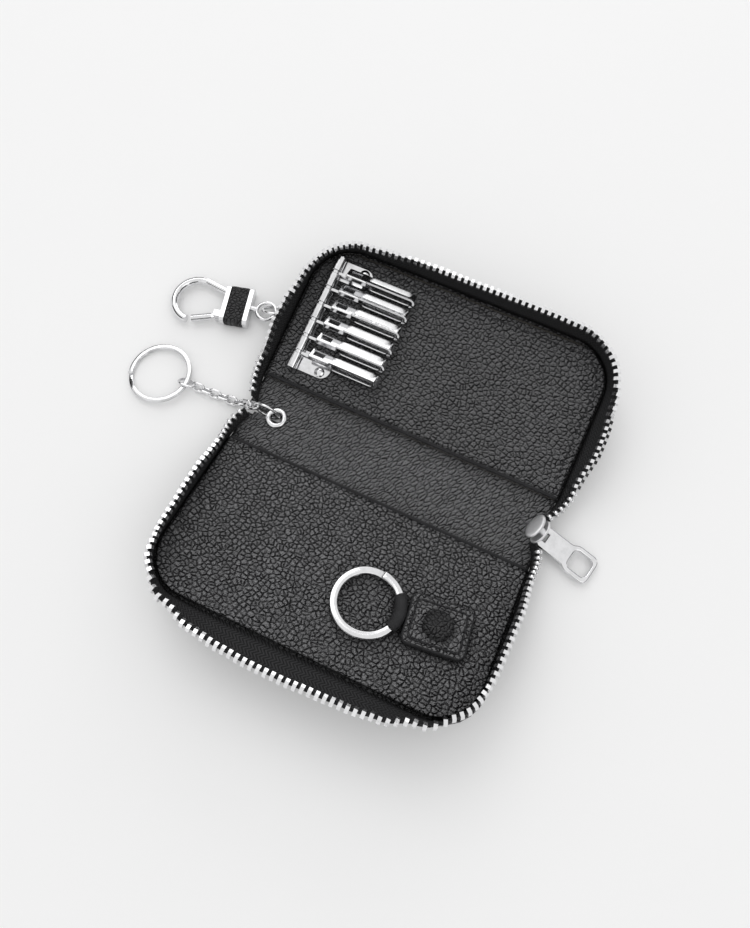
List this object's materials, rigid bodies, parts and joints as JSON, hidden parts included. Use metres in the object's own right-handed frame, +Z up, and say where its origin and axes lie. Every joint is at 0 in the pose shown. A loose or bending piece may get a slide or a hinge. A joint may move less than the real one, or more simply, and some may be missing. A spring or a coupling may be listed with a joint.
{
  "type": "key case",
  "caption": "Open zip-round key case in black pebbled leather with a row of key hooks, a snap fob tab with a split ring, a chain ring and a swivel hook.",
  "frame": {"origin": "The middle of the spine's underside, on the ground.", "axes": "X runs along the spine away from the chain, Y points to the half with the key hooks, Z is up."},
  "size_m": [0.1927, 0.1585, 0.0275],
  "materials": {
    "pebbled_leather": "pebbled black leather",
    "smooth_leather": "smooth black leather",
    "stiff_board": "hidden stiffening board",
    "zip_tape": "woven black tape",
    "bright_metal": "polished nickel plate"
  },
  "bodies": {
    "spine": {"spine_cover": "pebbled_leather", "spine_lining": "pebbled_leather", "eyelet": "bright_metal", "spine_zip_tapes": "zip_tape", "zip_slider": "bright_metal"},
    "key_half": {"upper_cover": "pebbled_leather", "upper_board": "stiff_board", "upper_panel": "pebbled_leather", "upper_zip_tape": "zip_tape", "upper_zip_teeth": "bright_metal", "key_row_plate": "bright_metal", "key_row_pin": "bright_metal", "key_row_rivets": "bright_metal", "hook_strap": "smooth_leather"},
    "fob_half": {"lower_cover": "pebbled_leather", "lower_board": "stiff_board", "lower_panel": "pebbled_leather", "lower_zip_tape": "zip_tape", "lower_zip_teeth": "bright_metal", "snap_stud": "bright_metal"},
    "pull": {"zip_pull": "bright_metal"},
    "hook_1": {"key_hook_1": "bright_metal"},
    "gate_1": {"key_gate_1": "bright_metal"},
    "hook_2": {"key_hook_2": "bright_metal"},
    "gate_2": {"key_gate_2": "bright_metal"},
    "hook_3": {"key_hook_3": "bright_metal"},
    "gate_3": {"key_gate_3": "bright_metal"},
    "hook_4": {"key_hook_4": "bright_metal"},
    "gate_4": {"key_gate_4": "bright_metal"},
    "hook_5": {"key_hook_5": "bright_metal"},
    "gate_5": {"key_gate_5": "bright_metal"},
    "hook_6": {"key_hook_6": "bright_metal"},
    "gate_6": {"key_gate_6": "bright_metal"},
    "fob": {"fob_tab": "pebbled_leather", "snap_socket": "bright_metal", "snap_cap": "smooth_leather"},
    "fob_loop": {"ring_loop": "smooth_leather"},
    "fob_split_ring": {"fob_ring": "bright_metal"},
    "eyelet_loop": {"eyelet_ring": "bright_metal"},
    "link_1": {"chain_link_1": "bright_metal"},
    "link_2": {"chain_link_2": "bright_metal"},
    "link_3": {"chain_link_3": "bright_metal"},
    "link_4": {"chain_link_4": "bright_metal"},
    "link_5": {"chain_link_5": "bright_metal"},
    "link_6": {"chain_link_6": "bright_metal"},
    "link_7": {"chain_link_7": "bright_metal"},
    "link_8": {"chain_link_8": "bright_metal"},
    "end_link": {"chain_end_ring": "bright_metal"},
    "floor_ring": {"key_ring": "bright_metal"},
    "strap_ring": {"link_ring": "bright_metal"},
    "swivel": {"swivel_eye": "bright_metal"},
    "swivel_hook": {"hook_body": "bright_metal", "collar_wrap": "smooth_leather", "gate_pin": "bright_metal"},
    "swivel_gate": {"hook_gate": "bright_metal"}
  },
  "joints": [
    {"name": "key_half_fold", "type": "hinge", "parent": "spine", "child": "key_half", "pos_m": [0, 0.01215, 0.0016], "axis": [1, 0, 0], "range_deg": [-12.6, 77.4]},
    {"name": "fob_half_fold", "type": "hinge", "parent": "spine", "child": "fob_half", "pos_m": [0, -0.01215, 0.0016], "axis": [-1, 0, 0], "range_deg": [-12.6, 77.4]},
    {"name": "pull_swing", "type": "hinge", "parent": "spine", "child": "pull", "pos_m": [0.05906, -0.00054, 0.00504], "axis": [0.2079, 0.9781, 0], "range_deg": [-50, 0]},
    {"name": "hook_1_swing", "type": "hinge", "parent": "key_half", "child": "hook_1", "pos_m": [-0.0506, 0.02554, 0.00982], "axis": [0, 0.9759, 0.2181], "range_deg": [-110, 0]},
    {"name": "gate_1_spring", "type": "hinge", "parent": "hook_1", "child": "gate_1", "pos_m": [-0.01925, 0.02532, 0.00926], "axis": [0, 0.9311, -0.3649], "range_deg": [0, 6], "stiffness_Nm_per_rad": 0.01},
    {"name": "hook_2_swing", "type": "hinge", "parent": "key_half", "child": "hook_2", "pos_m": [-0.0506, 0.03219, 0.01131], "axis": [0, 0.9759, 0.2181], "range_deg": [-110, 0]},
    {"name": "gate_2_spring", "type": "hinge", "parent": "hook_2", "child": "gate_2", "pos_m": [-0.01925, 0.03198, 0.01075], "axis": [0, 0.9311, -0.3649], "range_deg": [0, 6], "stiffness_Nm_per_rad": 0.01},
    {"name": "hook_3_swing", "type": "hinge", "parent": "key_half", "child": "hook_3", "pos_m": [-0.0506, 0.03884, 0.01279], "axis": [0, 0.9759, 0.2181], "range_deg": [-110, 0]},
    {"name": "gate_3_spring", "type": "hinge", "parent": "hook_3", "child": "gate_3", "pos_m": [-0.01925, 0.03863, 0.01223], "axis": [0, 0.9311, -0.3649], "range_deg": [0, 6], "stiffness_Nm_per_rad": 0.01},
    {"name": "hook_4_swing", "type": "hinge", "parent": "key_half", "child": "hook_4", "pos_m": [-0.0506, 0.04549, 0.01428], "axis": [0, 0.9759, 0.2181], "range_deg": [-110, 0]},
    {"name": "gate_4_spring", "type": "hinge", "parent": "hook_4", "child": "gate_4", "pos_m": [-0.01925, 0.04528, 0.01372], "axis": [0, 0.9311, -0.3649], "range_deg": [0, 6], "stiffness_Nm_per_rad": 0.01},
    {"name": "hook_5_swing", "type": "hinge", "parent": "key_half", "child": "hook_5", "pos_m": [-0.0506, 0.05214, 0.01577], "axis": [0, 0.9759, 0.2181], "range_deg": [-110, 0]},
    {"name": "gate_5_spring", "type": "hinge", "parent": "hook_5", "child": "gate_5", "pos_m": [-0.01925, 0.05193, 0.01521], "axis": [0, 0.9311, -0.3649], "range_deg": [0, 6], "stiffness_Nm_per_rad": 0.01},
    {"name": "hook_6_swing", "type": "hinge", "parent": "key_half", "child": "hook_6", "pos_m": [-0.0506, 0.05879, 0.01725], "axis": [0, 0.9759, 0.2181], "range_deg": [-110, 0]},
    {"name": "gate_6_spring", "type": "hinge", "parent": "hook_6", "child": "gate_6", "pos_m": [-0.01925, 0.05858, 0.01669], "axis": [0, 0.9311, -0.3649], "range_deg": [0, 6], "stiffness_Nm_per_rad": 0.01},
    {"name": "fob_snap", "type": "slide", "parent": "fob_half", "child": "fob", "axis": [0, -0.2181, -0.9759], "range_m": [-0.008, 0]},
    {"name": "fob_loop_swing", "type": "hinge", "parent": "fob", "child": "fob_loop", "pos_m": [0.02515, -0.04815, 0.01482], "axis": [0.1219, -0.9686, 0.2165], "range_deg": [-60, 0]},
    {"name": "fob_ring_spin", "type": "hinge", "parent": "fob_loop", "child": "fob_split_ring", "pos_m": [0.01398, -0.04949, 0.01512], "axis": [0, 0.2181, 0.9759], "continuous": true},
    {"name": "eyelet_loop_swing", "type": "hinge", "parent": "spine", "child": "eyelet_loop", "pos_m": [-0.05135, 0, 0.00572], "axis": [0, 1, 0], "range_deg": [0, 40]},
    {"name": "link_1_turn", "type": "hinge", "parent": "eyelet_loop", "child": "link_1", "pos_m": [-0.05635, 0, 0.00572], "axis": [0, 0, 1], "range_deg": [-4, 4]},
    {"name": "link_2_turn", "type": "hinge", "parent": "link_1", "child": "link_2", "pos_m": [-0.05891, -0.00013, 0.00458], "axis": [0, 0, -1], "range_deg": [-4, 4]},
    {"name": "link_3_turn", "type": "hinge", "parent": "link_2", "child": "link_3", "pos_m": [-0.0621, -0.0003, 0.00316], "axis": [0, 0, 1], "range_deg": [-4, 4]},
    {"name": "link_4_turn", "type": "hinge", "parent": "link_3", "child": "link_4", "pos_m": [-0.0654, -0.00047, 0.00208], "axis": [0, 0, -1], "range_deg": [-4, 4]},
    {"name": "link_5_turn", "type": "hinge", "parent": "link_4", "child": "link_5", "pos_m": [-0.06886, -0.00066, 0.00171], "axis": [0, 0, 1], "range_deg": [-4, 4]},
    {"name": "link_6_turn", "type": "hinge", "parent": "link_5", "child": "link_6", "pos_m": [-0.07236, -0.00084, 0.00171], "axis": [0, 0, -1], "range_deg": [-4, 4]},
    {"name": "link_7_turn", "type": "hinge", "parent": "link_6", "child": "link_7", "pos_m": [-0.07585, -0.00102, 0.00171], "axis": [0, 0, 1], "range_deg": [-4, 4]},
    {"name": "link_8_turn", "type": "hinge", "parent": "link_7", "child": "link_8", "pos_m": [-0.07933, -0.0012, 0.00191], "axis": [0, 0, -1], "range_deg": [-4, 4]},
    {"name": "end_link_turn", "type": "hinge", "parent": "link_8", "child": "end_link", "pos_m": [-0.08215, -0.00135, 0.00249], "axis": [0, 0, 1], "range_deg": [-4, 4]},
    {"name": "floor_ring_turn", "type": "hinge", "parent": "end_link", "child": "floor_ring", "pos_m": [-0.08625, -0.00157, 0.00249], "axis": [0, 0, -1], "range_deg": [-6, 6]},
    {"name": "strap_ring_swing", "type": "hinge", "parent": "key_half", "child": "strap_ring", "pos_m": [-0.06495, 0.04132, 0.00402], "axis": [0.1806, -0.6836, 0.7071], "range_deg": [-25, 0]},
    {"name": "swivel_turn", "type": "hinge", "parent": "strap_ring", "child": "swivel", "pos_m": [-0.07152, 0.03959, 0.00402], "axis": [0, 0, 1], "range_deg": [-5, 5]},
    {"name": "swivel_hook_spin", "type": "hinge", "parent": "swivel", "child": "swivel_hook", "pos_m": [-0.07887, 0.03765, 0.0026], "axis": [-0.9668, -0.2554, 0], "continuous": true},
    {"name": "swivel_gate_spring", "type": "hinge", "parent": "swivel_hook", "child": "swivel_gate", "pos_m": [-0.08938, 0.02928, 0.0026], "axis": [0, 0, 1], "range_deg": [-25, 0], "stiffness_Nm_per_rad": 0.02}
  ]
}
